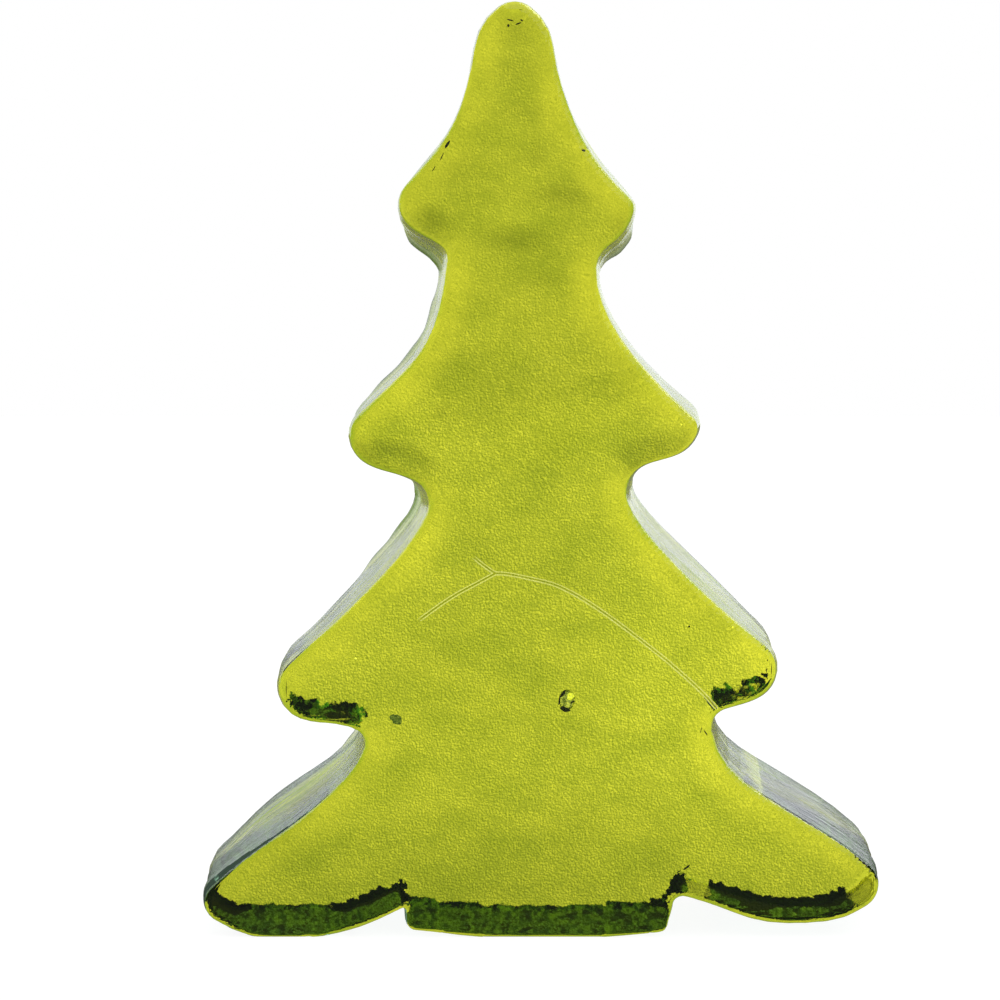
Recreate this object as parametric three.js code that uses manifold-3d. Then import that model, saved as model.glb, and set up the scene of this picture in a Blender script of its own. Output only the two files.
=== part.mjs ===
import * as THREE from 'three';
import { mergeVertices } from 'three/addons/utils/BufferGeometryUtils.js';
import Module from 'manifold-3d';

// Table-top tree cast in one pour of clear chartreuse glass, a single solid piece.
// Millimetres, Z up. The tree stands on Z = 0 with its front face towards -Y.
// Each side of the outline is drawn as round tips and round notches joined by swept edges.
// A heading says which way the outline runs there: 0 straight out from the trunk, 90 down, 180 back in.

// Casting
const castThickness = 44.45; // front face to back face, one and three quarter inches
const frontLipRadius = 1.0; // rounding where the front face turns into the walls
const backEdgeRadius = 2.4; // fire-polished rounding of the open-poured back, on tops and tips
const underEdgeRadius = 0.6; // the same edge along the undersides, nearly sharp
const wallFullness = 1.0; // 0 for straight walls, 1 for walls that take their draft near the front

// Heights of the tiers, notch to notch, from the table up
const trunkHeight = 6.0;
const bottomTierHeight = 38.0;
const thirdTierHeight = 51.5;
const secondTierHeight = 49.5;
const topTierHeight = 50.1; // up to the centre of the crown

// Apex, a round crown between two flatter shoulders
const crownRadius = 5.5;
const crownHeading = 33; // heading at which the crown passes into a shoulder
const crownGrow = 0.8; // growth of the crown and shoulders from front to back
const crownLift = 1.8; // how much higher the crown stands at the back
const shoulderRadius = 12.0;
const shoulderHeading = 81; // heading at which a shoulder passes into the top branch
const shoulderHoldRight = 0.42; // how far the edge below a shoulder keeps that heading
const shoulderHoldLeft = 0.52;
const apexAside = 5.75; // the tree leans, so that its apex stands left of the axis

// Foot, ground flat on the table
const footReachRight = 27.4;
const footReachLeft = 28.5;
const footCornerRadius = 1.5;
const footCornerLiftRight = 1.1; // the foot was cast slightly bowed, so its corners clear the table
const footCornerLiftLeft = 1.6;
const footSideHeading = 96; // the trunk narrows a little towards the table
const footGrow = 2.4; // growth of the foot's sides from front to back
const footBow = 0.5; // how far the middle of the bow hung below the table before grinding
const footHold = 0.33; // how far the foot's sides and bow keep their headings
const grindingStock = 10; // depth of the slab that grinding takes away

// Branches, right side. Tip: furthest reach from the axis, radius, rise of its centre above its notch.
// Notch: nearest reach to the axis, radius, height above its tier line.
// Hold: how far the swept edge on that side keeps its heading, as a part of the edge's length.
// Grow, lift, drop: how much wider, higher or lower the casting is there at its back, its mould's draft.
const topRight = {
	tip: {
		reach: 19.8, radius: 2.8, rise: 12.7, grow: 2.5, lift: 0.6,
		headingIn: 44, holdIn: 0.36, headingOut: 104, holdOut: 0.36,
	},
	notch: {
		reach: 11.8, radius: 5.5, rise: -0.5, grow: 2.3, drop: 1.4,
		headingIn: 146, holdIn: 0.36, headingOut: 92, holdOut: 0.3,
	},
};
const secondRight = {
	tip: {
		reach: 33.5, radius: 3.1, rise: 13.7, grow: 2.7, lift: 0.3,
		headingIn: 41, holdIn: 0.36, headingOut: 114, holdOut: 0.45,
	},
	notch: {
		reach: 18.1, radius: 6.3, rise: 1.0, grow: 3.7, drop: 0.8,
		headingIn: 155, holdIn: 0.36, headingOut: 72, holdOut: 0.18,
	},
};
const thirdRight = {
	tip: {
		reach: 50.6, radius: 6.2, rise: 12.9, grow: 2.9, lift: 0.1,
		headingIn: 40, holdIn: 0.4, headingOut: 115, holdOut: 0.36,
	},
	notch: {
		reach: 36.7, radius: 4.3, rise: 1.7, grow: 2.6, drop: 0.4,
		headingIn: 160, holdIn: 0.36, headingOut: 82, holdOut: 0.3,
	},
};
const bottomRight = {
	tip: {
		reach: 72.9, radius: 4.9, rise: 5.2, grow: 2.9, lift: 0.3,
		headingIn: 42, holdIn: 0.42, headingOut: 150, holdOut: 0.42,
	},
	notch: {
		reach: 28.3, radius: 2.4, rise: 0.5, grow: 3.1, drop: 1.9,
		headingIn: 196, holdIn: 0.42, headingOut: 92, holdOut: 0.3,
	},
};

// Branches, left side
const topLeft = {
	tip: {
		reach: 30.1, radius: 6.0, rise: 11.4, grow: 2.6, lift: -1.2,
		headingIn: 50, holdIn: 0.42, headingOut: 115, holdOut: 0.36,
	},
	notch: {
		reach: 19.8, radius: 3.0, rise: 1.8, grow: 2.3, drop: 2.8,
		headingIn: 145, holdIn: 0.36, headingOut: 84, holdOut: 0.48,
	},
};
const secondLeft = {
	tip: {
		reach: 40.7, radius: 5.9, rise: 14.6, grow: 2.1, lift: 0.2,
		headingIn: 44, holdIn: 0.42, headingOut: 112, holdOut: 0.36,
	},
	notch: {
		reach: 23.8, radius: 5.5, rise: -1.5, grow: 3.6, drop: 0.6,
		headingIn: 152, holdIn: 0.36, headingOut: 66, holdOut: 0.2,
	},
};
const thirdLeft = {
	tip: {
		reach: 56.0, radius: 6.3, rise: 12.7, grow: 2.4, lift: -0.6,
		headingIn: 42, holdIn: 0.4, headingOut: 108, holdOut: 0.48,
	},
	notch: {
		reach: 37.8, radius: 3.1, rise: -1.8, grow: 2.0, drop: 0.0,
		headingIn: 150, holdIn: 0.36, headingOut: 74, holdOut: 0.24,
	},
};
const bottomLeft = {
	tip: {
		reach: 72.8, radius: 4.6, rise: 1.8, grow: 2.7, lift: 0.3,
		headingIn: 43, holdIn: 0.34, headingOut: 146, holdOut: 0.36,
	},
	notch: {
		reach: 28.6, radius: 1.0, rise: -0.3, grow: 2.6, drop: 1.4,
		headingIn: 203, holdIn: 0.36, headingOut: 90, holdOut: 0.3,
	},
};

// Fineness of the facets
const arcStep = 16; // degrees of turn per facet round a tip or notch
const edgeSteps = 9; // facets along a swept edge
const roundingSteps = 3; // facets across the front lip and the back edge
const wallSteps = 4; // facets along the walls from front to back

const rightSide = {
	branches: [topRight, secondRight, thirdRight, bottomRight],
	apexReach: -apexAside,
	shoulderHold: shoulderHoldRight,
	footReach: footReachRight,
	footCornerLift: footCornerLiftRight,
};
const leftSide = {
	branches: [topLeft, secondLeft, thirdLeft, bottomLeft],
	apexReach: apexAside,
	shoulderHold: shoulderHoldLeft,
	footReach: footReachLeft,
	footCornerLift: footCornerLiftLeft,
};

// Heights of the tier lines above the table, from the top tier down
const tierLines = [trunkHeight];
for (const height of [bottomTierHeight, thirdTierHeight, secondTierHeight]) {
	tierLines.unshift(tierLines[0] + height);
}
const apexHeight = tierLines[0] + topTierHeight;

const radians = THREE.MathUtils.degToRad;

// Point of a circle where the outline has a heading, on the outer side of a tip or the inner side of a notch
function pointAtHeading({ centre, radius, isNotch }, heading) {
	const side = isNotch ? -1 : 1;
	return new THREE.Vector2(
		centre.x + side * radius * Math.sin(radians(heading)),
		centre.y + side * radius * Math.cos(radians(heading)),
	);
}

// Points round a tip or notch, from the heading it is met at to the heading it is left at
function arcPoints(circle) {
	const turn = circle.headingOut - circle.headingIn;
	const steps = Math.max(2, Math.round(Math.abs(turn) / arcStep));
	return Array.from({ length: steps + 1 }, (_, i) => (
		pointAtHeading(circle, circle.headingIn + (turn * i) / steps)
	));
}

// Swept edge between two circles, without its end points
function edgePoints(from, to) {
	const start = pointAtHeading(from, from.headingOut);
	const end = pointAtHeading(to, to.headingIn);
	const handle = (heading, hold) => new THREE.Vector2(
		Math.cos(radians(heading)),
		-Math.sin(radians(heading)),
	).multiplyScalar(start.distanceTo(end) * hold);
	const curve = new THREE.CubicBezierCurve(
		start,
		start.clone().add(handle(from.headingOut, from.holdOut)),
		end.clone().sub(handle(to.headingIn, to.holdIn)),
		end,
	);
	return curve.getPoints(edgeSteps).slice(1, -1);
}

// A tip grows with the draft of its section, and the roundings of the casting's edges draw it in
function tipCircle(tip, height, { draft, lipInset, backInset, underInset }) {
	return {
		...tip,
		centre: new THREE.Vector2(
			tip.reach - tip.radius,
			height + draft * tip.lift - (backInset - underInset) / 2,
		),
		radius: tip.radius + draft * tip.grow - lipInset - (backInset + underInset) / 2,
	};
}

// A notch moves away from the axis and down with the draft, and keeps its radius
function notchCircle(notch, height, { draft, lipInset, backInset, underInset }) {
	return {
		...notch,
		isNotch: true,
		centre: new THREE.Vector2(
			notch.reach + notch.radius + draft * notch.grow - backInset,
			height - draft * notch.drop + underInset,
		),
		radius: notch.radius + lipInset,
	};
}

// Crown of the apex and the shoulder that goes on from it
function apexCircles(side, { draft, lipInset, backInset }) {
	const change = draft * crownGrow - lipInset - backInset;
	const crown = {
		centre: new THREE.Vector2(side.apexReach, apexHeight + draft * crownLift),
		radius: crownRadius + change,
		headingIn: 0,
		headingOut: crownHeading,
	};
	const outwards = new THREE.Vector2(Math.sin(radians(crownHeading)), Math.cos(radians(crownHeading)));
	const shoulder = {
		centre: crown.centre.clone().addScaledVector(outwards, crownRadius - shoulderRadius),
		radius: shoulderRadius + change,
		headingIn: crownHeading,
		headingOut: shoulderHeading,
		holdOut: side.shoulderHold,
		goesOn: true,
	};
	return [crown, shoulder];
}

// The foot's corner and the middle of its bow
function footCircles(side, { draft, lipInset, backInset }) {
	const bowDepth = side.footCornerLift + footBow;
	const corner = {
		centre: new THREE.Vector2(
			side.footReach + draft * footGrow - lipInset - backInset - footCornerRadius,
			side.footCornerLift + footCornerRadius,
		),
		radius: footCornerRadius,
		headingIn: footSideHeading,
		holdIn: footHold,
		headingOut: 180 - THREE.MathUtils.radToDeg(Math.atan2(2 * bowDepth, side.footReach)),
		holdOut: footHold,
	};
	const middle = { centre: new THREE.Vector2(0, -footBow), radius: 0, headingIn: 180, holdIn: footHold };
	return [corner, middle];
}

// Circles of one side, in the order in which the outline meets them from the apex down
function sideCircles(side, section) {
	const branches = side.branches.flatMap(({ tip, notch }, i) => {
		const notchHeight = tierLines[i] + notch.rise;
		return [tipCircle(tip, notchHeight + tip.rise, section), notchCircle(notch, notchHeight, section)];
	});
	return [...apexCircles(side, section), ...branches, ...footCircles(side, section)];
}

// Outline of one side, from the top of the crown to just before the middle of the foot
function sidePoints(side, section) {
	const circles = sideCircles(side, section);
	const points = [];
	circles.forEach((circle, i) => {
		if (i > 0 && !circle.goesOn) points.push(...edgePoints(circles[i - 1], circle));
		if (i < circles.length - 1) points.push(...arcPoints(circle).slice(circle.goesOn ? 1 : 0));
	});
	return points;
}

// Closed outline of one section, clockwise as seen from the front
function sectionRing(section) {
	const onPlane = (sign) => ({ x, y }) => new THREE.Vector3(sign * x, section.depth - castThickness / 2, y);
	const right = sidePoints(rightSide, section).map(onPlane(1));
	const left = sidePoints(leftSide, section).map(onPlane(-1));
	const footMiddle = onPlane(1)({ x: 0, y: -footBow });
	return [...right, footMiddle, ...left.slice(1).reverse()];
}

// Section at a depth behind the front face, with how far the edge roundings draw it in
function castSection(depth, lipInset, backShare) {
	const share = depth / castThickness;
	return {
		depth,
		draft: share * (1 + wallFullness * (1 - share)),
		lipInset,
		backInset: backShare * backEdgeRadius,
		underInset: backShare * underEdgeRadius,
	};
}

// Sections from the front face to the back face
function castSections() {
	const tipRadii = [...rightSide.branches, ...leftSide.branches].map(({ tip }) => tip.radius);
	const lip = Math.min(frontLipRadius, 0.8 * Math.min(...tipRadii)); // a lip can't be rounder than its tip
	const angles = Array.from({ length: roundingSteps + 1 }, (_, i) => (i / roundingSteps) * (Math.PI / 2));
	const frontLip = angles.map((a) => castSection(lip * (1 - Math.cos(a)), lip * (1 - Math.sin(a)), 0));
	const backEdge = angles.map((a) => (
		castSection(castThickness - backEdgeRadius * (1 - Math.sin(a)), 0, 1 - Math.cos(a))
	));
	const wallDepth = castThickness - backEdgeRadius - lip;
	const walls = Array.from({ length: wallSteps - 1 }, (_, i) => (
		castSection(lip + (wallDepth * (i + 1)) / wallSteps, 0, 0)
	));
	return [...frontLip, ...walls, ...backEdge];
}

// Closed skin over rings that have as many points each, with flat ends
function loft(rings) {
	const count = rings[0].length;
	const indices = [];
	for (let ring = 1; ring < rings.length; ring++) {
		for (let i = 0; i < count; i++) {
			const near = (ring - 1) * count + i;
			const nearNext = (ring - 1) * count + (i + 1) % count;
			const far = ring * count + i;
			const farNext = ring * count + (i + 1) % count;
			indices.push(near, nearNext, farNext, near, farNext, far);
		}
	}
	const endTriangles = (ring) => (
		THREE.ShapeUtils.triangulateShape(rings[ring].map((p) => new THREE.Vector2(p.x, p.z)), [])
	);
	const last = rings.length - 1;
	for (const [a, b, c] of endTriangles(0)) indices.push(a, b, c);
	const lastStart = last * count;
	for (const [a, b, c] of endTriangles(last)) indices.push(lastStart + a, lastStart + c, lastStart + b);
	const geometry = new THREE.BufferGeometry().setFromPoints(rings.flat());
	geometry.setIndex(indices);
	return geometry;
}

const wasm = await Module();
wasm.setup();

function toSolid(geometry) {
	const bare = geometry.clone();
	bare.deleteAttribute('normal');
	bare.deleteAttribute('uv');
	const merged = mergeVertices(bare);
	return new wasm.Manifold(new wasm.Mesh({
		numProp: 3,
		vertProperties: new Float32Array(merged.attributes.position.array),
		triVerts: new Uint32Array(merged.index.array),
	}));
}

function toGeometry(solid) {
	const { vertProperties, triVerts } = solid.getMesh();
	const geometry = new THREE.BufferGeometry();
	geometry.setAttribute('position', new THREE.BufferAttribute(vertProperties, 3));
	geometry.setIndex(new THREE.BufferAttribute(triVerts, 1));
	geometry.computeVertexNormals();
	return geometry;
}

// Everything that hung below the table plane when the casting left its mould
function grindingSlab() {
	const spread = 2 * (apexHeight + castThickness);
	return new THREE.BoxGeometry(spread, spread, grindingStock).translate(0, 0, -grindingStock / 2);
}

function castTree() {
	const casting = toSolid(loft(castSections().map(sectionRing)));
	const tree = toGeometry(casting.subtract(toSolid(grindingSlab())));
	tree.computeBoundingBox();
	const middle = tree.boundingBox.getCenter(new THREE.Vector3());
	return tree.translate(-middle.x, -middle.y, 0);
}

const glass = new THREE.MeshStandardMaterial({ color: '#bcc42c', roughness: 0.12, metalness: 0 });
const castGlassTree = new THREE.Mesh(castTree(), glass);
castGlassTree.name = 'cast_glass_tree';

const glassTree = new THREE.Group();
glassTree.add(castGlassTree);

export default glassTree;
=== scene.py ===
import math

import bmesh
import bpy
from mathutils import Matrix, Vector, noise
from mathutils.bvhtree import BVHTree
from mathutils.geometry import interpolate_bezier, intersect_point_line
from mathutils.kdtree import KDTree


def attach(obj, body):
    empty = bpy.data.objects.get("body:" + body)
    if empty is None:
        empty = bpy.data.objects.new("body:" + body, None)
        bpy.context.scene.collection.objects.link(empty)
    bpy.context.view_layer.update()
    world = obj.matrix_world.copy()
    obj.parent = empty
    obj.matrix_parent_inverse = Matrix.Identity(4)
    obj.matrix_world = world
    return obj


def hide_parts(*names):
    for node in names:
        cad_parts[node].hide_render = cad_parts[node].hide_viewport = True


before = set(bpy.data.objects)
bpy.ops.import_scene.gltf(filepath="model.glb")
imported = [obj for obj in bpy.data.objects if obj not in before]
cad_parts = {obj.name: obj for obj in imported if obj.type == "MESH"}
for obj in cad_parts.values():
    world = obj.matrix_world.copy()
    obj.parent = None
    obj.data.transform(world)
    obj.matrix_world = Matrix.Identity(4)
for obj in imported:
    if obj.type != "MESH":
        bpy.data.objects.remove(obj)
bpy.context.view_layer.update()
mm = 0.001  # every size below is in millimetres and is scaled by this where it is used
scene = bpy.context.scene
scene.view_settings.view_transform = "Standard"

white = "FFFFFF"
colourMix = {"data_type": "RGBA"}
colourProduct = {"data_type": "RGBA", "blend_type": "MULTIPLY"}
colourSum = {"data_type": "RGBA", "blend_type": "ADD"}


def linearColour(hexText):
    channels = [int(hexText[i:i + 2], 16) / 255 for i in (0, 2, 4)]
    linear = [c / 12.92 if c <= 0.04045 else ((c + 0.055) / 1.055) ** 2.4 for c in channels]
    return (*linear, 1.0)


def addObject(name, data):
    item = bpy.data.objects.new(name, data)
    scene.collection.objects.link(item)
    return item


def clearedNodes(owner):
    owner.use_nodes = True
    owner.node_tree.nodes.clear()
    return owner.node_tree


def addNode(tree, kind, settings=None, inputs=None):
    node = tree.nodes.new(kind)
    for name, setting in (settings or {}).items():
        setattr(node, name, setting)
    for name, value in (inputs or {}).items():
        # a number counts the sockets, a name goes to the one in use of those that share it
        socket = node.inputs[name] if isinstance(name, int) else next(
            socket for socket in node.inputs if socket.enabled and socket.name == name)
        if isinstance(value, bpy.types.NodeSocket):
            tree.links.new(value, socket)
        else:
            socket.default_value = linearColour(value) if isinstance(value, str) else value
    return next((socket for socket in node.outputs if socket.enabled), None)


def span(fromLow, fromHigh, toLow=0.0, toHigh=1.0):
    # the inputs of a Map Range node, apart from its value
    return {"From Min": fromLow, "From Max": fromHigh, "To Min": toLow, "To Max": toHigh}


def smoothStep(low, high, value):
    t = min(max((value - low) / (high - low), 0.0), 1.0)
    return t * t * (3 - 2 * t)


# camera, at the photograph's viewing angle
view = {
    "place": (-8.89, -628.04, 135.10),
    "downTilt": 3.7953,  # degrees below level
    "lens": 102.0,
    "sensor": 36.0,
}

cameraData = bpy.data.cameras.new("photo_camera")
cameraData.lens = view["lens"]
cameraData.sensor_width = view["sensor"]
camera = addObject("photo_camera", cameraData)
camera.location = Vector(view["place"]) * mm
camera.rotation_euler = (math.radians(90 - view["downTilt"]), 0, 0)
scene.camera = camera
print("camera placed")


# flow line: where two streams of the melt met, a fine groove in the front face
flowLine = {
    "shortArm": [(-15.1, 83.1), (-12.5, 80.9), (-9.9, 79.1)],
    "leftArm": [(-26.9, 68.6), (-21.8, 72.3), (-18.1, 74.7), (-13.6, 77.1), (-9.9, 79.1)],
    "rightArm": [(-9.9, 79.1), (-7.6, 79.0), (-2.9, 78.1), (4.0, 76.2), (12.6, 71.2), (25.5, 61.5),
                 (34.1, 53.9), (37.6, 50.0)],
    "curveSteps": 6,
    "handle": 1 / 6,  # Catmull-Rom handles
    "halfGroove": 0.13,
    "depth": 0.14,
    "rimOut": 0.31,
    "halfRim": 0.12,
    "rimHeight": 0.05,
    "reach": 0.75,  # the mesh is made fine this far from the line
    "refineSteps": 3,
    "refineWider": 0.6,  # each coarser step reaches out further by this share
    "taper": 2.0,  # the arms fade out over this length at their free ends
}


def curveThrough(points):
    knots = [Vector((x, 0, z)) for x, z in points]
    ends = [knots[0] * 2 - knots[1]] + knots + [knots[-1] * 2 - knots[-2]]
    line = []
    for before, start, stop, after in zip(ends, ends[1:], ends[2:], ends[3:]):
        firstHandle = start + (stop - before) * flowLine["handle"]
        lastHandle = stop - (after - start) * flowLine["handle"]
        line += interpolate_bezier(start, firstHandle, lastHandle, stop, flowLine["curveSteps"])[:-1]
    return line + [knots[-1]]


flowArms = [curveThrough(flowLine[arm]) for arm in ("shortArm", "leftArm", "rightArm")]
freeEnds = [Vector((x, 0, z)) for x, z in (flowLine["shortArm"][0], flowLine["leftArm"][0])]


def gapToFlow(x, z):
    point = Vector((x, 0, z))
    nearest = math.inf
    for arm in flowArms:
        for start, stop in zip(arm, arm[1:]):
            foot, share = intersect_point_line(point, start, stop)
            foot = start if share < 0 else stop if share > 1 else foot
            nearest = min(nearest, (point - foot).length)
    return nearest


def grooveAndRim(x, z):
    gap = gapToFlow(x, z)
    if gap >= flowLine["reach"]:
        return 0.0, 0.0
    strength = min(smoothStep(0, flowLine["taper"], (Vector((x, 0, z)) - end).length) for end in freeEnds)
    groove = math.exp(-(gap / flowLine["halfGroove"]) ** 2) * strength
    rim = math.exp(-((gap - flowLine["rimOut"]) / flowLine["halfRim"]) ** 2) * strength
    return groove, rim


# the casting: the CAD solid, remeshed finely enough to carry the marks of a hand-cast pour
casting = {
    "merge": 0.001,  # vertices of the CAD mesh this close are one
    "cell": 0.89,
    "relaxRounds": 3,
    "relax": 0.5,
    # waves of the skin: length, height and seed
    "peel": (2.4, 0.03, 0.0),  # orange peel of the chilled face
    "broad": (24.0, 0.20, 3.1),
    "pour": (28.0, 0.30, 7.7),  # the open back
    "chip": (3.4, 0.30, 5.3),  # ragged lower edges at the back
    "chipLift": 2.0, "chipDepth": (0, 14),
    # drag marks of the walls: length, width and height
    "streak": (34.0, 2.9, 0.15),
    "fold": (15.0, 7.0, 0.30),
    "flatBelow": 0.4,  # the ground foot stays flat
    "frontMargin": 0.3,  # what lies this near the foremost point is on the front face
    "facing": (0.75, 0.97),  # from wall to front or back, by the normal's y
    "frontFrom": 0.9, "wallFrom": 0.5,  # the shares that count as front and as wall
    "lipFacing": (-0.9, -0.3), "lipRise": 0.05,  # the lips that look up, by the normal's y and z
}

# the rough underside, painted dark as the shade it lies in
underside = {
    "lipGap": (0.9, 1.8),  # the front lip is clear
    "fullBelow": 34.0,  # the foot and the bottom branches are rough and painted dark all over
    "third": (40.0, 78.0),  # the third tier only in patches, more of them at the back
    "thirdCover": (0.12, 0.64),
    "thirdDepth": (-4.0, 13.0),
    "rightBranch": (33.0, 36.0, 40.0),  # past the foot's corner it is clear, then rough again
    "rightTip": (67.0, 72.0),  # and the outer tip is clear
    "footHalf": 29.0,
    "footTop": 9.0,
    # x, and the depth from which the underside is painted black as the deepest shade: it reaches far forward
    # under the right branch
    "blackFrom": [
        (-80, 8), (-68, 10), (-64, 20), (-50, 21), (-45, 16), (-40, 12), (-31, 12), (-28, 20), (25, 20),
        (30, 10), (33, 15.5), (38, 13), (44, 9), (47, 2), (51, 4), (55, 15), (62, 16), (68, 10), (80, 8),
    ],
    "blackFade": 5.5,
    "thirdBlack": 0.5,  # the third tier is painted black and green by turns
    "noLift": 6.0,  # what is higher above an underside is clear of it
    "rayInset": 0.3,
    "downFrom": -0.12, "belowFrom": -0.1,  # the normal's z where the skin looks down, here or straight below
    "sideFrom": 0.5,  # the foot's own sides are rough too, by the normal's x
    # the left branch has a strip painted dark behind its lip, a painted reflection of the dark underside,
    # wider toward the tip: x, heights, widths
    "stripFrom": -46.0, "stripHeights": (12.0, 32.0), "stripWidths": (5.0, 0.8),
    "stripBlack": 0.8,
}


def behindLip(point):
    if point.x > underside["stripFrom"] or point.z > underside["stripHeights"][1]:
        return False
    atTip, atTop = underside["stripWidths"]
    width = atTip + (atTop - atTip) * smoothStep(*underside["stripHeights"], point.z)
    start = underside["lipGap"][0]
    return start < point.y - frontPlane / mm < start + width


def roughCover(point):
    if behindLip(point):
        return 1.0
    clear = smoothStep(*underside["lipGap"], point.y - frontPlane / mm)
    corner, start, full = underside["rightBranch"]
    if point.z < underside["fullBelow"]:
        if point.x < corner:
            return clear
        return clear * smoothStep(start, full, point.x) * (1 - smoothStep(*underside["rightTip"], point.x))
    low, high = underside["third"]
    if low < point.z < high:
        atFront, atBack = underside["thirdCover"]
        return clear * (atFront + (atBack - atFront) * smoothStep(*underside["thirdDepth"], point.y))
    return 0.0


def blackShare(point):
    if behindLip(point):
        return underside["stripBlack"]
    if point.z > underside["fullBelow"]:
        return underside["thirdBlack"]
    knots = underside["blackFrom"]
    for (x, depth), (nextX, nextDepth) in zip(knots, knots[1:]):
        if x <= point.x < nextX:
            start = depth + (nextDepth - depth) * (point.x - x) / (nextX - x)
            return smoothStep(start, start + underside["blackFade"], point.y)
    return 0.0


def liftAbove(vert, point, wall):
    atFoot = abs(point.x) < underside["footHalf"] and point.z < underside["footTop"]
    if vert.normal.z < underside["downFrom"] or (atFoot and abs(vert.normal.x) > underside["sideFrom"]):
        return 0.0
    if wall > casting["wallFrom"] and behindLip(point):
        return 0.0
    inside = vert.co - vert.normal * underside["rayInset"] * mm
    hit, hitNormal, _, drop = solidTree.ray_cast(inside, Vector((0, 0, -1)), underside["noLift"] * mm)
    return drop / mm if hit is not None and hitNormal.z < underside["belowFrom"] else underside["noLift"]


# painted light and shade on the face, broadly: brightest at the right, darker toward the foot
faceLight = {
    "plain": 0.82,
    "right": 0.22, "rightFrom": (-2.0, 30.0), "rightMiddle": 58.0, "rightReach": 38.0,
    "foot": 0.21, "footFrom": (10.0, 34.0),
    "footSpared": 0.6,  # how much less the foot dims at the right
    "marginWidth": (2.0, 8.0),  # smooth along the lip
    "grainFrom": (72.0, 165.0),  # the painted shading of the orange peel is weaker toward the top
    "grainTop": 0.5,
    "patchEnd": 2.5,  # a painted patch is left out beyond this many times its half width
}

# painted patches of shade and light on the face, some where an underside shows through: x, z, half width,
# half height, turn in degrees, how much darker (-) or lighter
paintedShadePatches = [
    (-5.3, 196.6, 4.5, 2.6, 0, -0.30), (-4.9, 188.0, 6.5, 1.8, 8, -0.22), (-4.0, 178.9, 5.5, 2.0, 0, -0.16),
    (-6.3, 175.4, 3.0, 1.2, 0, 0.12), (-18.7, 166.0, 5.0, 3.0, 35, -0.14), (-0.6, 169.0, 3.0, 2.0, 60, -0.16),
    (-2.7, 163.5, 4.0, 1.5, 0, 0.12), (4.7, 160.6, 5.5, 2.2, -8, -0.34), (-1.7, 155.7, 5.0, 2.0, 0, 0.12),
    (-9.1, 156.5, 4.0, 2.5, 20, 0.08), (-23.6, 155.1, 4.0, 2.8, -30, -0.42),
    (18.1, 153.8, 2.6, 3.6, -35, -0.26), (-5.3, 150.8, 6.0, 2.4, 0, -0.30),
    (0.5, 141.9, 4.0, 1.6, 10, -0.12), (-11.2, 131.3, 4.0, 3.0, 30, 0.10), (-5.0, 126.0, 4.0, 3.0, 30, 0.08),
    (-22.4, 112.5, 1.6, 1.6, 0, -0.26), (-34.6, 105.2, 6.0, 1.5, -8, -0.55),
    (-26.5, 102.4, 4.5, 1.3, -32, -0.45), (25.0, 106.4, 5.5, 1.7, 14, -0.50),
    (19.3, 103.4, 2.6, 1.5, 40, -0.34), (29.5, 77.7, 7.0, 3.5, -45, -0.14),
    (37.5, 68.0, 6.0, 3.0, -45, -0.16), (-13.0, 83.0, 6.0, 2.0, -35, -0.10),
    (2.0, 78.3, 9.0, 1.6, -12, -0.10), (16.0, 71.0, 8.0, 1.5, -35, -0.10), (-19.0, 70.5, 8.0, 1.6, 35, -0.14),
    (-24.0, 60.0, 9.0, 2.0, 30, -0.08), (10.0, 22.0, 9.0, 3.0, 20, -0.08), (24.0, 24.0, 4.0, 9.0, 20, -0.08),
    (52.0, 13.0, 14.0, 5.0, 12, 0.12),
]


def paintedPatchShade(point):
    shade = 0.0
    for x, z, halfX, halfZ, turn, strength in paintedShadePatches:
        away = Vector((point.x - x, point.z - z))
        if away.length < faceLight["patchEnd"] * max(halfX, halfZ):
            away.rotate(Matrix.Rotation(math.radians(-turn), 2))
            shade += strength * math.exp(-(away.x / halfX) ** 2 - (away.y / halfZ) ** 2)
    return shade


def broadLight(point):
    rise = (point.z - faceLight["rightMiddle"]) / faceLight["rightReach"]
    right = smoothStep(*faceLight["rightFrom"], point.x) * math.exp(-rise * rise)
    foot = (1 - smoothStep(*faceLight["footFrom"], point.z)) * (1 - faceLight["footSpared"] * right)
    return faceLight["plain"] + faceLight["right"] * right - faceLight["foot"] * foot + paintedPatchShade(point)


def grainShare(point):
    return 1 - (1 - faceLight["grainTop"]) * smoothStep(*faceLight["grainFrom"], point.z)


# where the casting spreads (+) or draws in (-): x, z, reach, push, and the depth from which it does
swells = [
    (31, 84, 15, 0.9, 10), (51, 63, 8, -0.8, -12), (50, 48, 8, 0.9, -22), (48, 34, 12, 0.6, 6),
    (74, 15, 9, -0.45, -8), (67, 5, 8, 0.85, -30), (47, 4, 8, 0.5, -30), (-40, 3, 9, 0.85, -30),
    (-73, 14, 8, -0.7, -10), (-58, 27, 13, 1.3, 4), (-48, 36, 10, 0.8, 4), (-58, 49, 7, 1.0, -22),
    (-53, 63, 10, -0.85, -10), (-43, 111, 7, -0.85, -10), (-27, 90, 9, -0.6, -10),
    (-32, 122, 12, -0.5, -10), (-31, 158, 8, -1.0, -12), (-31, 152, 6, -0.9, -12),
    (-18, 181, 12, -0.65, -10), (20, 98, 5, -1.0, -8), (13, 145, 6, -0.6, -8), (-25, 148, 5, -0.9, -8),
    (22, 158, 6, -0.6, -8),
]
swellFade = 5

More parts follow.
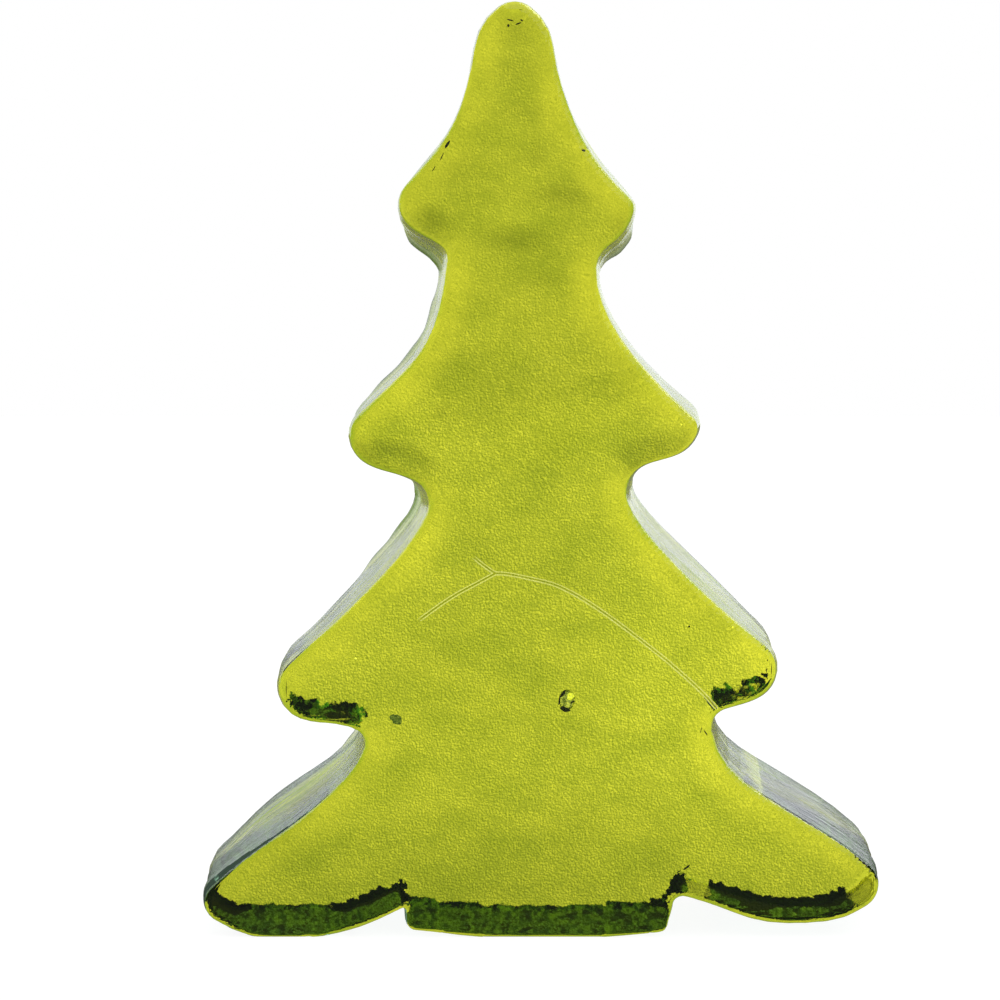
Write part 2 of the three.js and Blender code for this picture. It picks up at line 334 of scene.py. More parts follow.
# where the melt climbed the mould, a bead on the open back rim, clear enough to look into:
# x, z, reach, height
beads = [
    (-26.2, 92.3, 5, 1.5), (-30.8, 85.4, 5, 1.3), (-36.6, 78.5, 4.5, 0.9), (-40.6, 112.1, 4, 0.7),
    (-35.3, 118.5, 5, 1.1), (-29.6, 126.5, 6, 1.2), (-23.2, 135.8, 5, 0.9), (-28.4, 149.1, 4, 1.1),
    (-22.7, 146.4, 4, 1.3), (14.9, 150.3, 4, 1.2), (19.3, 152.5, 4, 0.9), (-39.7, 36.5, 5, 0.9),
    (18, 128, 12, 0.3),
]
beadDepth = (15.4, 18.4)
pushEnd = 3  # a swell or bead is left out beyond this many times its reach


def nearness(point, x, z, reach):
    apart = ((point.x - x) ** 2 + (point.z - z) ** 2) / reach ** 2
    return math.exp(-apart) if apart < pushEnd ** 2 else 0.0


def bead(point):
    push = sum(height * nearness(point, x, z, reach) for x, z, reach, height in beads)
    return push * smoothStep(*beadDepth, point.y)


def swell(point):
    return sum(height * nearness(point, x, z, reach)
               * smoothStep(fromDepth - swellFade, fromDepth + swellFade, point.y)
               for x, z, reach, height, fromDepth in swells)


seedShift = (1, 1.7, -1)  # uneven, so that no two seeds line up


def waves(point, wave, seed):
    return noise.noise(point / wave + Vector([seed * share for share in seedShift]))


def skinWave(point, kind):
    wave, height, seed = casting[kind]
    return waves(point, wave, seed) * height


def dragMark(point, kind):
    along, across, height = casting[kind]
    return noise.noise(Vector((point.x / along, point.y / across, point.z / along))) * height


solid = bmesh.new()
solid.from_mesh(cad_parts["cast_glass_tree"].data)
bmesh.ops.remove_doubles(solid, verts=solid.verts, dist=casting["merge"] * mm)
solidTree = BVHTree.FromBMesh(solid)
solidMesh = bpy.data.meshes.new("casting_source")
solid.to_mesh(solidMesh)
solid.free()

sourceObject = addObject("casting_source", solidMesh)
remesh = sourceObject.modifiers.new("remesh", "REMESH")
remesh.mode = "VOXEL"
remesh.voxel_size = casting["cell"] * mm
remeshed = sourceObject.evaluated_get(bpy.context.evaluated_depsgraph_get())
fineMesh = bpy.data.meshes.new_from_object(remeshed)
bpy.data.objects.remove(sourceObject)

tree = bmesh.new()
tree.from_mesh(fineMesh)
markNames = (
    "lift",  # height above an underside, in mm
    "cover",  # how much of an underside is rough and painted dark as shade
    "blackShade",  # where the underside is painted near black, as the deepest shade
    "wall",  # 1 on the side walls
    "light",  # painted broad light and shade of the face, and on a wall less than 1 at a bead, as painted shade there
    "margin",  # 1 along the lip, where the face is smooth
    "grain",  # how strong the painted shading of the orange peel is
    "flow",  # -1 in the flow line's groove, +1 on its rims
)
marks = {name: tree.verts.layers.float.new(name) for name in markNames}
for _ in range(casting["relaxRounds"]):
    bmesh.ops.smooth_vert(tree, verts=tree.verts, factor=casting["relax"],
                          use_axis_x=True, use_axis_y=True, use_axis_z=True)
    for vert in tree.verts:
        vert.co = solidTree.find_nearest(vert.co)[0]
print("casting remeshed:", len(tree.verts), "vertices")

frontPlane = min(vert.co.y for vert in tree.verts)


def onFront(vert):
    return vert.co.y < frontPlane + casting["frontMargin"] * mm


for coarser in reversed(range(flowLine["refineSteps"])):
    reach = flowLine["reach"] * (1 + flowLine["refineWider"] * coarser)
    near = {vert for vert in tree.verts
            if onFront(vert) and gapToFlow(vert.co.x / mm, vert.co.z / mm) < reach}
    edges = [edge for edge in tree.edges if edge.verts[0] in near and edge.verts[1] in near]
    bmesh.ops.subdivide_edges(tree, edges=edges, cuts=1, use_grid_fill=True)
print("flow line refined:", len(tree.verts), "vertices")

tree.normal_update()
lipLow, lipHigh = casting["lipFacing"]
lips = [vert.co for vert in tree.verts
        if lipLow < vert.normal.y < lipHigh and vert.normal.z > casting["lipRise"]]
lipTree = KDTree(len(lips))
for index, place in enumerate(lips):
    lipTree.insert(place, index)
lipTree.balance()

moves = {}
for vert in tree.verts:
    point = vert.co / mm
    normal = vert.normal
    front = smoothStep(*casting["facing"], -normal.y)
    back = smoothStep(*casting["facing"], normal.y)
    wall = 1 - front - back
    lift = liftAbove(vert, point, wall)
    groove, rim = grooveAndRim(point.x, point.z) if front > casting["frontFrom"] else (0.0, 0.0)
    vert[marks["lift"]] = lift
    vert[marks["cover"]] = roughCover(point)
    vert[marks["blackShade"]] = blackShare(point)
    vert[marks["wall"]] = wall
    vert[marks["light"]] = broadLight(point) * (1 - wall) + (1 - min(bead(point), 1.0)) * wall
    vert[marks["margin"]] = 1 - smoothStep(*faceLight["marginWidth"], lipTree.find(vert.co)[2] / mm)
    vert[marks["grain"]] = grainShare(point)
    vert[marks["flow"]] = rim - groove

    peel, broad, pour, chip = (skinWave(point, kind) for kind in ("peel", "broad", "pour", "chip"))
    drag = dragMark(point, "streak") + dragMark(point, "fold")
    ragged = (1 - smoothStep(0, casting["chipLift"], lift)) * smoothStep(*casting["chipDepth"], point.y)
    move = front * (peel + broad) + back * (pour + peel) + wall * (drag + broad) + ragged * chip
    move += rim * flowLine["rimHeight"] - groove * flowLine["depth"]
    if point.z < casting["flatBelow"]:
        move = 0.0
    outward = Vector((normal.x, 0, normal.z))
    moves[vert] = (normal * move + outward * (swell(point) + bead(point))) * mm

for vert, move in moves.items():
    vert.co += move
    vert.co.z = max(vert.co.z, 0.0)
print("marks of the pour made")


# air bubble, a closed cavity behind the front face
bubble = {
    "place": (5.6, -16.6, 51.3),
    "halfSize": (1.75, 0.55, 2.3),
    "subdivisions": 3,
    "wave": 1.6, "seed": 2.2,
    "dent": 0.10,  # as a share of its half width
}

placed = Matrix.Translation(Vector(bubble["place"]) * mm)
sized = Matrix.Diagonal((*[size * mm for size in bubble["halfSize"]], 1))
cavity = bmesh.ops.create_icosphere(
    tree, subdivisions=bubble["subdivisions"], radius=1, matrix=placed @ sized)
for vert in cavity["verts"]:
    outward = (vert.co - placed.translation).normalized()
    dent = waves(vert.co / mm, bubble["wave"], bubble["seed"]) * bubble["dent"] * bubble["halfSize"][0]
    vert.co += outward * dent * mm
cavityFaces = {face for vert in cavity["verts"] for face in vert.link_faces}
for face in cavityFaces:
    face.material_index = 1
bmesh.ops.reverse_faces(tree, faces=list(cavityFaces))

# the refined edges leave some faces with more than four corners
bmesh.ops.triangulate(tree, faces=[face for face in tree.faces if len(face.verts) > 4])
for face in tree.faces:
    face.smooth = True
treeMesh = bpy.data.meshes.new("glass_tree")
tree.to_mesh(treeMesh)
tree.free()
glassTree = addObject("glass_tree", treeMesh)
print("glass tree:", sum(len(face.vertices) - 2 for face in treeMesh.polygons), "triangles")


# recycled soda-lime glass, open-cast and fire-polished: clear yellow-green with an orange-peel face and silky
# drawn walls;
# the underside is rough and painted dark green as the shade it lies in
glassLook = {
    "ior": 1.5,
    "absorbColour": "FCFC46",
    "density": 70.0,
    "smooth": 0.02, "drawn": 0.08, "ground": 0.9,  # roughness of the face, the walls and the underside
    "grainDark": "9CA888", "grainGain": 2.9, "grainLevel": 0.5,
    "mottleDark": "E4EAE0", "shadeCloudDark": "E0E7DA",
    "marginTint": "F6F4E2",
    "shadeDark": "8E9A7C",
    "wallDark": "A2C492",
    "bead": "4A6A08",
    "groove": "566428",
    "rim": "F6F68C", "rimHighlightMilk": 0.55,
    "undersideShadeDark": "346C56", "undersideShadeLight": "ACE4BC",
    "patchGain": 1.2, "blackGain": 2.5,
    "emerald": "86F8B0",
    "veins": "1C4222",
    "nearBlackShade": "0C3016",
    "bump": 0.8, "bumpDepth": 0.08, "faceShare": 0.12, "wallShare": 5.5,
}

# name: size of its waves in mm, detail, roughness, offset in mm, squeeze along x, y and z
glassPatterns = {
    "grain": (0.42, 1.0, 0.5, (0, 0, 0), (1, 1, 1)),  # orange peel, drawn a little coarse to show
    "grainBeside": (0.42, 1.0, 0.5, (0.2, 0, 0.2), (1, 1, 1)),
    "mottle": (1.7, 3.0, 0.65, (30, 10, 20), (1, 1, 1)),
    "shadeCloud": (7.5, 2.0, 0.5, (10, 40, 20), (0.55, 1, 1)),
    "margin": (14.0, 1.0, 0.5, (0, 0, 0), (1, 1, 1)),
    "streak": (1.1, 3.0, 0.5, (0, 0, 0), (0.05, 1, 0.05)),  # drawn along the walls
    "streakTint": (1.5, 5.0, 0.7, (5, 9, 3), (0.07, 1, 0.07)),
    "ragged": (3.0, 3.0, 0.65, (0, 0, 0), (1, 1, 1)),
    # patterns of the underside are long in depth, because it is seen at a low angle
    "patch": (4.5, 3.0, 0.6, (20, 50, 10), (1, 0.3, 1)),
    "body": (1.1, 4.0, 0.75, (10, 20, 30), (1, 0.16, 1)),
    "vein": (2.3, 4.0, 0.7, (40, 10, 10), (1, 0.22, 1)),
    "blackShade": (3.6, 4.0, 0.65, (50, 20, 10), (1, 0.3, 1)),
}

# where a pattern or a mark passes from one look to the next
glassSpans = {
    "uneven": span(0.35, 0.65, 0.35, 1.75),
    "mottle": span(0.32, 0.66),
    "shadeCloud": span(0.35, 0.60),
    "margin": span(0.4, 0.6, 0.5, 1.0),
    "streakTint": span(0.42, 0.58),
    "groove": span(-0.2, -1.0),
    "rim": span(0.15, 1.0),
    "ragged": span(0.3, 0.7, 0.1, 1.5),
    "reached": span(-0.05, 0.05),
    "covered": span(1.07, 1.13),
    "body": span(0.40, 0.60),
    "vein": span(0.40, 0.50),
    "thinning": span(1.26, 1.13),
    "onThird": span(underside["fullBelow"] * mm, underside["third"][0] * mm),
    "blackShade": span(1.7, 1.85),
    "shadeAboveUnderside": span(0.2, 0.9),
    "polish": span(0.0, 1.0, glassLook["smooth"], glassLook["drawn"]),
}

castGlass = bpy.data.materials.new("recycled_glass_open_cast")
nodes = clearedNodes(castGlass)
objectPlace = addNode(nodes, "ShaderNodeTexCoord").node.outputs["Object"]
mark = {name: addNode(nodes, "ShaderNodeAttribute", {"attribute_name": name}).node.outputs["Fac"]
        for name in markNames}
field = {}
for name, (wave, detail, roughness, offset, squeeze) in glassPatterns.items():
    moved = addNode(nodes, "ShaderNodeMapping", inputs={
        "Vector": objectPlace, "Location": [size * mm for size in offset], "Scale": squeeze})
    field[name] = addNode(nodes, "ShaderNodeTexNoise", inputs={
        "Vector": moved, "Scale": 1 / (wave * mm), "Detail": detail, "Roughness": roughness})

# orange peel, as painted shade and painted highlight: each hollow is painted with a dark and a light side
embossShading = addNode(nodes, "ShaderNodeMath", {"operation": "SUBTRACT"},
                {0: field["grain"], 1: field["grainBeside"]})
uneven = addNode(nodes, "ShaderNodeMapRange", inputs={"Value": field["mottle"], **glassSpans["uneven"]})
for strength in (mark["grain"], uneven):
    embossShading = addNode(nodes, "ShaderNodeMath", {"operation": "MULTIPLY"}, {0: embossShading, 1: strength})
embossShading = addNode(nodes, "ShaderNodeMath", {"operation": "MULTIPLY_ADD"},
                {0: embossShading, 1: glassLook["grainGain"], 2: glassLook["grainLevel"]})
faceTint = addNode(nodes, "ShaderNodeMix", colourMix,
                   {"Factor": embossShading, "A": glassLook["grainDark"], "B": white})
# painted mottled shade and darker clouds of shade on the face, for the uneven light it refracts
for name in ("mottle", "shadeCloud"):
    share = addNode(nodes, "ShaderNodeMapRange", inputs={"Value": field[name], **glassSpans[name]})
    tint = addNode(nodes, "ShaderNodeMix", colourMix,
                   {"Factor": share, "A": glassLook[name + "Dark"], "B": white})
    faceTint = addNode(nodes, "ShaderNodeMix", colourProduct, {"Factor": 1.0, "A": faceTint, "B": tint})
margin = addNode(nodes, "ShaderNodeMapRange", inputs={"Value": field["margin"], **glassSpans["margin"]})
margin = addNode(nodes, "ShaderNodeMath", {"operation": "MULTIPLY"}, {0: margin, 1: mark["margin"]})
faceTint = addNode(nodes, "ShaderNodeMix", colourMix,
                   {"Factor": margin, "A": faceTint, "B": glassLook["marginTint"]})
# the face is darkened by its painted light and shade
shade = addNode(nodes, "ShaderNodeMix", colourMix,
                {"Factor": mark["light"], "A": glassLook["shadeDark"], "B": white})
faceTint = addNode(nodes, "ShaderNodeMix", colourProduct, {"Factor": 1.0, "A": faceTint, "B": shade})

# drawn walls: pale, with greener streaks, and painted deep green at a bead of the melt, as painted shade for
# the wall seen into there rather than mirroring
streaks = addNode(nodes, "ShaderNodeMapRange", inputs={
    "Value": field["streakTint"], **glassSpans["streakTint"]})
wallTint = addNode(nodes, "ShaderNodeMix", colourMix,
                   {"Factor": streaks, "A": glassLook["wallDark"], "B": white})
wallTint = addNode(nodes, "ShaderNodeMix", colourMix,
                   {"Factor": mark["light"], "A": glassLook["bead"], "B": wallTint})
glassTint = addNode(nodes, "ShaderNodeMix", colourMix, {"Factor": mark["wall"], "A": faceTint, "B": wallTint})

# flow line: the groove painted dark as shade, between two rims painted pale as highlight
grooveShadeShare = addNode(nodes, "ShaderNodeMapRange", inputs={"Value": mark["flow"], **glassSpans["groove"]})
rimHighlightShare = addNode(nodes, "ShaderNodeMapRange", inputs={"Value": mark["flow"], **glassSpans["rim"]})
for share, colour in ((grooveShadeShare, glassLook["groove"]), (rimHighlightShare, glassLook["rim"])):
    glassTint = addNode(nodes, "ShaderNodeMix", colourMix, {"Factor": share, "A": glassTint, "B": colour})

# rough underside, painted dark as the shade it lies in: ragged where it ends, and only where the cover and
# its patches add up to enough
ragged = addNode(nodes, "ShaderNodeMapRange", inputs={"Value": field["ragged"], **glassSpans["ragged"]})
above = addNode(nodes, "ShaderNodeMath", {"operation": "SUBTRACT"}, {0: ragged, 1: mark["lift"]})
reached = addNode(nodes, "ShaderNodeMapRange", inputs={"Value": above, **glassSpans["reached"]})
patches = addNode(nodes, "ShaderNodeMath", {"operation": "MULTIPLY_ADD"},
                  {0: field["patch"], 1: glassLook["patchGain"], 2: mark["cover"]})
covered = addNode(nodes, "ShaderNodeMapRange", inputs={"Value": patches, **glassSpans["covered"]})
roughShadeMask = addNode(nodes, "ShaderNodeMath", {"operation": "MULTIPLY"}, {0: reached, 1: covered})

# its body is painted dark green as shade, with darker veins
bodyShare = addNode(nodes, "ShaderNodeMapRange", inputs={"Value": field["body"], **glassSpans["body"]})
undersideShadeTint = addNode(nodes, "ShaderNodeMix", colourMix,
                     {"Factor": bodyShare, "A": glassLook["undersideShadeDark"], "B": glassLook["undersideShadeLight"]})
veinShare = addNode(nodes, "ShaderNodeMapRange", inputs={"Value": field["vein"], **glassSpans["vein"]})
undersideShadeTint = addNode(nodes, "ShaderNodeMix", colourMix,
                     {"Factor": veinShare, "A": glassLook["veins"], "B": undersideShadeTint})

# painted bright green, as painted light, where the rough, painted-dark skin thins out at the edge of a patch
# of the third tier
thinning = addNode(nodes, "ShaderNodeMapRange", inputs={"Value": patches, **glassSpans["thinning"]})
objectHeight = addNode(nodes, "ShaderNodeSeparateXYZ", inputs={"Vector": objectPlace}).node.outputs["Z"]
onThird = addNode(nodes, "ShaderNodeMapRange", inputs={"Value": objectHeight, **glassSpans["onThird"]})
emerald = addNode(nodes, "ShaderNodeMath", {"operation": "MULTIPLY"}, {0: thinning, 1: onThird})
undersideShadeTint = addNode(nodes, "ShaderNodeMix", colourMix,
                     {"Factor": emerald, "A": undersideShadeTint, "B": glassLook["emerald"]})

# and painted near black as the deepest shade, toward the back and just above the underside
blackEdge = addNode(nodes, "ShaderNodeMath", {"operation": "MULTIPLY_ADD"},
                    {0: field["blackShade"], 1: glassLook["blackGain"], 2: mark["blackShade"]})
blackened = addNode(nodes, "ShaderNodeMapRange", inputs={"Value": blackEdge, **glassSpans["blackShade"]})
shadeAboveUnderside = addNode(nodes, "ShaderNodeMapRange", inputs={"Value": mark["lift"], **glassSpans["shadeAboveUnderside"]})
shadeAboveUnderside = addNode(nodes, "ShaderNodeMath", {"operation": "MULTIPLY"}, {0: shadeAboveUnderside, 1: mark["blackShade"]})
nearBlackShade = addNode(nodes, "ShaderNodeMath", {"operation": "MAXIMUM"}, {0: blackened, 1: shadeAboveUnderside})
undersideShadeTint = addNode(nodes, "ShaderNodeMix", colourMix,
                     {"Factor": nearBlackShade, "A": undersideShadeTint, "B": glassLook["nearBlackShade"]})
baseColour = addNode(nodes, "ShaderNodeMix", colourMix,
                     {"Factor": roughShadeMask, "A": glassTint, "B": undersideShadeTint})

# clear but for the rough underside painted as shade and the rims made milky for their painted highlight, with
# a ripple on the face and on the walls
milky = addNode(nodes, "ShaderNodeMath", {"operation": "MULTIPLY"}, {0: rimHighlightShare, 1: glassLook["rimHighlightMilk"]})
milky = addNode(nodes, "ShaderNodeMath", {"operation": "MAXIMUM"}, {0: roughShadeMask, 1: milky})
clear = addNode(nodes, "ShaderNodeMath", {"operation": "SUBTRACT"}, {0: 1.0, 1: milky})
faceRipple = addNode(nodes, "ShaderNodeMath", {"operation": "MULTIPLY"},
                     {0: field["grain"], 1: glassLook["faceShare"]})
wallRipple = addNode(nodes, "ShaderNodeMath", {"operation": "MULTIPLY"},
                     {0: field["streak"], 1: glassLook["wallShare"]})
ripple = addNode(nodes, "ShaderNodeMix", {"data_type": "FLOAT"},
                 {"Factor": mark["wall"], "A": faceRipple, "B": wallRipple})
skin = addNode(nodes, "ShaderNodeBump", inputs={
    "Height": ripple, "Strength": glassLook["bump"], "Distance": glassLook["bumpDepth"] * mm})
polish = addNode(nodes, "ShaderNodeMapRange", inputs={"Value": mark["wall"], **glassSpans["polish"]})
roughness = addNode(nodes, "ShaderNodeMix", {"data_type": "FLOAT"},
                    {"Factor": roughShadeMask, "A": polish, "B": glassLook["ground"]})
surface = addNode(nodes, "ShaderNodeBsdfPrincipled", inputs={
    "Base Color": baseColour, "Roughness": roughness, "IOR": glassLook["ior"],
    "Transmission Weight": clear, "Normal": skin})
absorb = addNode(nodes, "ShaderNodeVolumeAbsorption", inputs={
    "Color": glassLook["absorbColour"], "Density": glassLook["density"]})
addNode(nodes, "ShaderNodeOutputMaterial", inputs={"Surface": surface, "Volume": absorb})

# the wall of the trapped bubble: fire-polished glass, faintly dented, with darker blotches of painted shade
# and a painted glow, silvery where it would catch the light that runs inside the casting and dark at its rim
bubbleLook = {
    "tint": "6E7E5C", "wave": 0.9, "roughness": 0.01, "bump": 0.5, "bumpDepth": 0.02,
    "shadow": "2A3A14", "shine": "C0CA80",
    "caught": span(0.42, 0.56),
    "paintedGlow": span(0.22, 0.08, 0.0, 0.12),  # from its rim to its middle
}
bubbleGlass = bpy.data.materials.new("fire_polished_bubble_wall")
nodes = clearedNodes(bubbleGlass)
dents = addNode(nodes, "ShaderNodeTexNoise", inputs={
    "Vector": addNode(nodes, "ShaderNodeTexCoord").node.outputs["Object"],
    "Scale": 1 / (bubbleLook["wave"] * mm)})
caught = addNode(nodes, "ShaderNodeMapRange", inputs={"Value": dents, **bubbleLook["caught"]})
bubbleTint = addNode(nodes, "ShaderNodeMix", colourMix,
                     {"Factor": caught, "A": bubbleLook["tint"], "B": white})
dented = addNode(nodes, "ShaderNodeBump", inputs={
    "Height": dents, "Strength": bubbleLook["bump"], "Distance": bubbleLook["bumpDepth"] * mm})
paintedGlowColour = addNode(nodes, "ShaderNodeMix", colourMix,
                   {"Factor": caught, "A": bubbleLook["shadow"], "B": bubbleLook["shine"]})
edgeOn = addNode(nodes, "ShaderNodeLayerWeight").node.outputs["Facing"]
paintedGlow = addNode(nodes, "ShaderNodeMapRange", inputs={"Value": edgeOn, **bubbleLook["paintedGlow"]})
bubbleSurface = addNode(nodes, "ShaderNodeBsdfPrincipled", inputs={
    "Base Color": bubbleTint, "Roughness": bubbleLook["roughness"], "IOR": glassLook["ior"],
    "Transmission Weight": 1.0, "Normal": dented, "Emission Color": paintedGlowColour, "Emission Strength": paintedGlow})
addNode(nodes, "ShaderNodeOutputMaterial", inputs={"Surface": bubbleSurface})
glassTree.data.materials.append(castGlass)
glassTree.data.materials.append(bubbleGlass)
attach(glassTree, "root")
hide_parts("cast_glass_tree")
print("glass material made")


# what the pour carried with it: a batch stone, flecks of mould scale and pale specks, each material mottled
# at half a millimetre and matt, with a painted glow for the light that the glass scatters into it; some
# flecks are painted shade and one speck a painted highlight on the bubble's wall
inclusionLook = {
    "subdivisions": 3, "wave": 0.6, "seed": 4.4, "roughen": 0.35,
    "mottle": 0.5, "detail": 3.0, "spots": span(0.35, 0.65), "roughness": 0.8,
}
# x, y, z, half width, half depth, half height, turn in degrees
inclusions = {
    "unmelted_batch_stone": {"dark": "54702C", "light": "A4B458", "clear": 0.45, "paintedGlow": 0.32, "pieces": [
        (-31.2, -16.5, 47.0, 1.25, 0.4, 1.05, 20), (-32.0, -17.0, 47.5, 0.8, 0.3, 0.7, 0),
    ]},
    "dark_mould_scale_and_painted_shade": {"dark": "0C140A", "light": "2E3A1C", "clear": 0.0, "paintedGlow": 0.0, "pieces": [
        (8.7, -19.0, 169.4, 0.20, 0.2, 0.36, -35),
        (31.9, -19.0, 67.4, 0.22, 0.2, 0.22, 0), (-20.0, -19.5, 170.6, 0.2, 0.15, 1.0, 35),
        (-21.3, -19.5, 168.0, 0.10, 0.1, 0.9, 25), (-23.0, -19.5, 165.6, 0.10, 0.1, 0.7, 30),
        (-6.6, -19.5, 197.0, 0.75, 0.15, 0.14, 15), (-5.0, -19.5, 196.3, 0.7, 0.15, 0.16, -20),
        (-7.1, -19.5, 195.9, 0.25, 0.15, 0.3, 0), (-4.3, -19.5, 197.0, 0.35, 0.15, 0.18, 40),
        (34.6, -19.0, 45.0, 0.08, 0.1, 0.8, 15), (35.4, -19.0, 44.4, 0.08, 0.1, 0.7, -20),
        (31.6, -19.0, 14.9, 0.9, 0.2, 0.20, -35), (29.9, -19.0, 14.0, 0.5, 0.2, 0.14, -30),
        # dark crescents on the bubble's wall: painted shade of its rim
        (4.7, -17.6, 52.7, 1.0, 0.12, 0.30, -50), (5.2, -17.6, 49.3, 1.2, 0.12, 0.55, 18),
        (3.95, -17.4, 51.2, 0.22, 0.12, 1.0, 8), (6.9, -17.5, 50.9, 0.5, 0.12, 0.18, -25),
    ]},
    "pale_batch_speck_and_painted_glint": {"dark": "E6E83C", "light": "F8F878", "clear": 0.2, "paintedGlow": 0.75, "pieces": [
        # the second piece here is a painted highlight on the bubble's wall, not a speck
        (-40.0, -19.5, 60.5, 0.26, 0.2, 0.22, 0), (6.4, -17.7, 52.1, 0.75, 0.12, 0.8, 30),
        (41.2, -19.5, 67.2, 0.18, 0.2, 0.18, 0), (30.0, -19.5, 111.0, 0.20, 0.2, 0.18, 0),
    ]},
}


def addInclusion(grit, slot, place, halfSize, turn):
    middle = Vector(place) * mm
    shape = (Matrix.Translation(middle) @ Matrix.Rotation(math.radians(turn), 4, "Y")
             @ Matrix.Diagonal((*[size * mm for size in halfSize], 1)))
    piece = bmesh.ops.create_icosphere(
        grit, subdivisions=inclusionLook["subdivisions"], radius=1, matrix=shape)
    for vert in piece["verts"]:
        rough = waves(vert.co / mm, inclusionLook["wave"], inclusionLook["seed"])
        vert.co = middle + (vert.co - middle) * (1 + inclusionLook["roughen"] * rough)
        for face in vert.link_faces:
            face.material_index = slot


def inclusionMaterial(kind, looks):
    material = bpy.data.materials.new(kind)
    nodes = clearedNodes(material)
    spots = addNode(nodes, "ShaderNodeTexNoise", inputs={
        "Vector": addNode(nodes, "ShaderNodeTexCoord").node.outputs["Object"],
        "Scale": 1 / (inclusionLook["mottle"] * mm), "Detail": inclusionLook["detail"]})
    spots = addNode(nodes, "ShaderNodeMapRange", inputs={"Value": spots, **inclusionLook["spots"]})
    colour = addNode(nodes, "ShaderNodeMix", colourMix,
                     {"Factor": spots, "A": looks["dark"], "B": looks["light"]})
    surface = addNode(nodes, "ShaderNodeBsdfPrincipled", inputs={
        "Base Color": colour, "Roughness": inclusionLook["roughness"],
        "Transmission Weight": looks["clear"], "Emission Color": colour, "Emission Strength": looks["paintedGlow"]})
    addNode(nodes, "ShaderNodeOutputMaterial", inputs={"Surface": surface})
    return material


grit = bmesh.new()
gritMesh = bpy.data.meshes.new("stones_and_seeds")
for slot, (kind, looks) in enumerate(inclusions.items()):
    for x, y, z, halfX, halfY, halfZ, turn in looks["pieces"]:
        addInclusion(grit, slot, (x, y, z), (halfX, halfY, halfZ), turn)
    gritMesh.materials.append(inclusionMaterial(kind, looks))
for face in grit.faces:
    face.smooth = True
grit.to_mesh(gritMesh)
grit.free()
stones = addObject("stones_and_seeds", gritMesh)
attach(stones, "root")
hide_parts("cast_glass_tree")
print("stones and seeds made")


def mirrorShare(nodes):
    # 1 for rays that a surface mirrors, as against those that it shows directly or through the glass
    rays = addNode(nodes, "ShaderNodeLightPath").node.outputs
    return addNode(nodes, "ShaderNodeMath", {"operation": "MULTIPLY"},
                   {0: rays["Is Glossy Ray"], 1: rays["Is Reflection Ray"]})


# matt paper sweep: even and nearly white, dimmer where the glass mirrors it
floorLook = {
    "half": 3000.0, "drop": 0.02,
    "light": "606060", "dark": "5A5A5A", "fibre": 6.0, "glow": 0.92,
    "mirrored": "3A3C3C", "mirroredGlow": 0.09,
    "roughness": 0.9, "specular": 0.1,
}

floorMesh = bmesh.new()
bmesh.ops.create_grid(floorMesh, x_segments=1, y_segments=1, size=floorLook["half"] * mm,
                      matrix=Matrix.Translation((0, 0, -floorLook["drop"] * mm)))
floorData = bpy.data.meshes.new("pale_floor")
floorMesh.to_mesh(floorData)
floorMesh.free()
floor = addObject("pale_floor", floorData)
floorMaterial = bpy.data.materials.new("matt_pale_paper")
nodes = clearedNodes(floorMaterial)
mirrorRay = mirrorShare(nodes)
fibres = addNode(nodes, "ShaderNodeTexNoise", inputs={
    "Vector": addNode(nodes, "ShaderNodeTexCoord").node.outputs["Object"],
    "Scale": 1 / (floorLook["fibre"] * mm)})
paperColour = addNode(nodes, "ShaderNodeMix", colourMix,
                      {"Factor": fibres, "A": floorLook["dark"], "B": floorLook["light"]})
paperColour = addNode(nodes, "ShaderNodeMix", colourMix,
                      {"Factor": mirrorRay, "A": paperColour, "B": floorLook["mirrored"]})
glow = addNode(nodes, "ShaderNodeMapRange", inputs={
    "Value": mirrorRay, **span(0.0, 1.0, floorLook["glow"], floorLook["mirroredGlow"])})
paper = addNode(nodes, "ShaderNodeBsdfPrincipled", inputs={
    "Base Color": paperColour, "Roughness": floorLook["roughness"],
    "Specular IOR Level": floorLook["specular"], "Emission Color": white, "Emission Strength": glow})
addNode(nodes, "ShaderNodeOutputMaterial", inputs={"Surface": paper})
floorData.materials.append(floorMaterial)

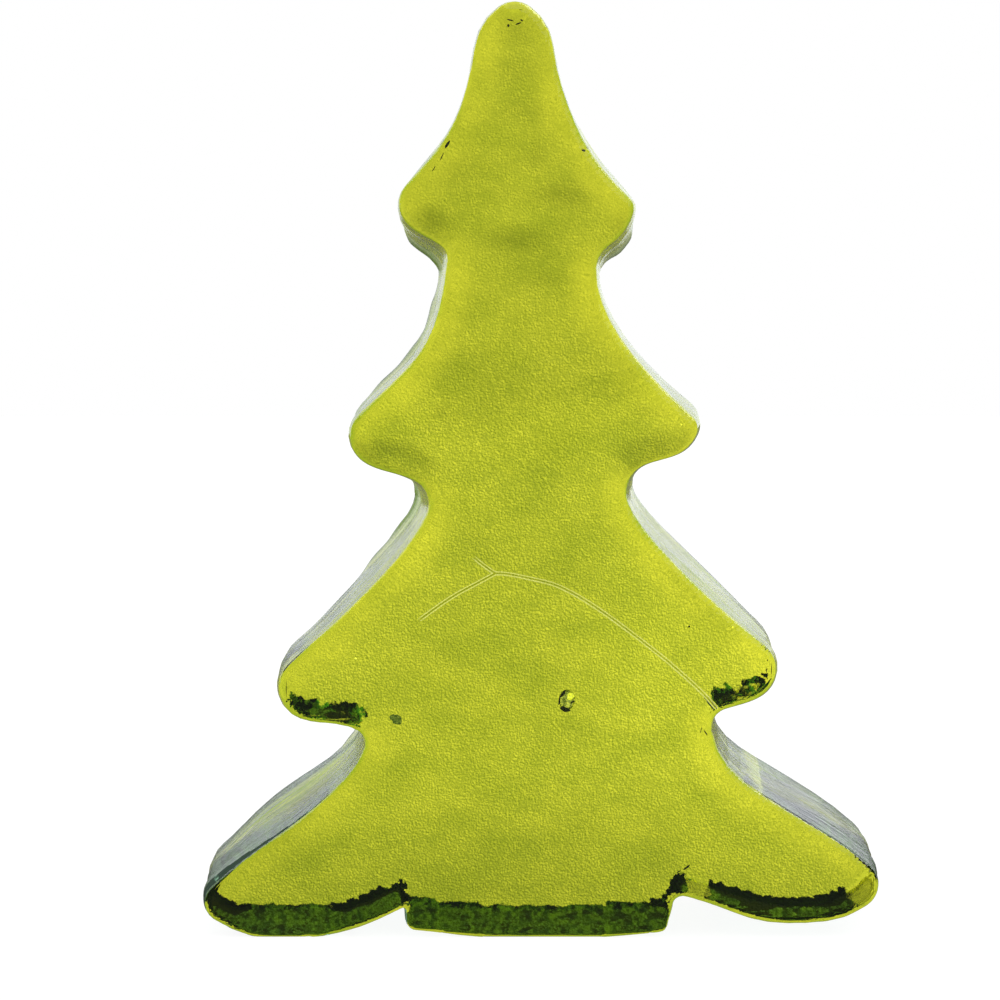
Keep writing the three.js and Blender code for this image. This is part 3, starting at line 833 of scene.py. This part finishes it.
# soft studio: white to the eye and greyer overhead, with other surroundings where the glass mirrors them
studio = {
    "zenith": "9AA09C",
    "rise": span(0.10, 0.9),  # from the white low down to the grey zenith
    "mirrored": "F0F6FF",  # what a wall reflects at a grazing angle
    "flag": "5E6064",  # dark flags beside the camera keep haze off the face
    "mirrorTurn": span(-0.2, 0.4),
    # direction and brightness: two high windows for the lips, a faint low one ahead for the right walls
    "windows": [((0.58, 0.10, 0.80), 5.0), ((-0.56, 0.02, 0.80), 2.5), ((0.35, 0.93, 0.10), 0.3)],
    "windowEdge": (0.88, 0.95),
    "sunPower": 0.7,
    "sunAngle": 70.0,
    "sunTurn": (40, 20, 0),
}

world = bpy.data.worlds.new("soft_studio")
scene.world = world
nodes = clearedNodes(world)
direction = addNode(nodes, "ShaderNodeTexCoord").node.outputs["Generated"]
ahead = addNode(nodes, "ShaderNodeSeparateXYZ", inputs={"Vector": direction}).node.outputs
rise = addNode(nodes, "ShaderNodeMapRange", inputs={"Value": ahead["Z"], **studio["rise"]})
through = addNode(nodes, "ShaderNodeMix", colourMix, {"Factor": rise, "A": white, "B": studio["zenith"]})
turned = addNode(nodes, "ShaderNodeMapRange", inputs={"Value": ahead["Y"], **studio["mirrorTurn"]})
mirrored = addNode(nodes, "ShaderNodeMix", colourMix,
                   {"Factor": turned, "A": studio["flag"], "B": studio["mirrored"]})
for towards, brightness in studio["windows"]:
    facing = addNode(nodes, "ShaderNodeVectorMath", {"operation": "DOT_PRODUCT"},
                     {0: direction, 1: Vector(towards).normalized()})
    window = addNode(nodes, "ShaderNodeMapRange", inputs={
        "Value": facing, **span(*studio["windowEdge"], 0.0, brightness)})
    mirrored = addNode(nodes, "ShaderNodeMix", colourSum, {"Factor": 1.0, "A": mirrored, "B": window})
seen = addNode(nodes, "ShaderNodeMix", colourMix, {"Factor": mirrorShare(nodes), "A": through, "B": mirrored})
rays = addNode(nodes, "ShaderNodeLightPath").node.outputs
plainRay = addNode(nodes, "ShaderNodeMath", {"operation": "MAXIMUM"},
                   {0: rays["Is Camera Ray"], 1: rays["Is Diffuse Ray"]})
seen = addNode(nodes, "ShaderNodeMix", colourMix, {"Factor": plainRay, "A": seen, "B": white})
sky = addNode(nodes, "ShaderNodeBackground", inputs={"Color": seen})
addNode(nodes, "ShaderNodeOutputWorld", inputs={"Surface": sky})

sunData = bpy.data.lights.new("soft_key", "SUN")
sunData.energy = studio["sunPower"]
sunData.angle = math.radians(studio["sunAngle"])
sun = addObject("soft_key", sunData)
sun.rotation_euler = [math.radians(turn) for turn in studio["sunTurn"]]
print("studio made")
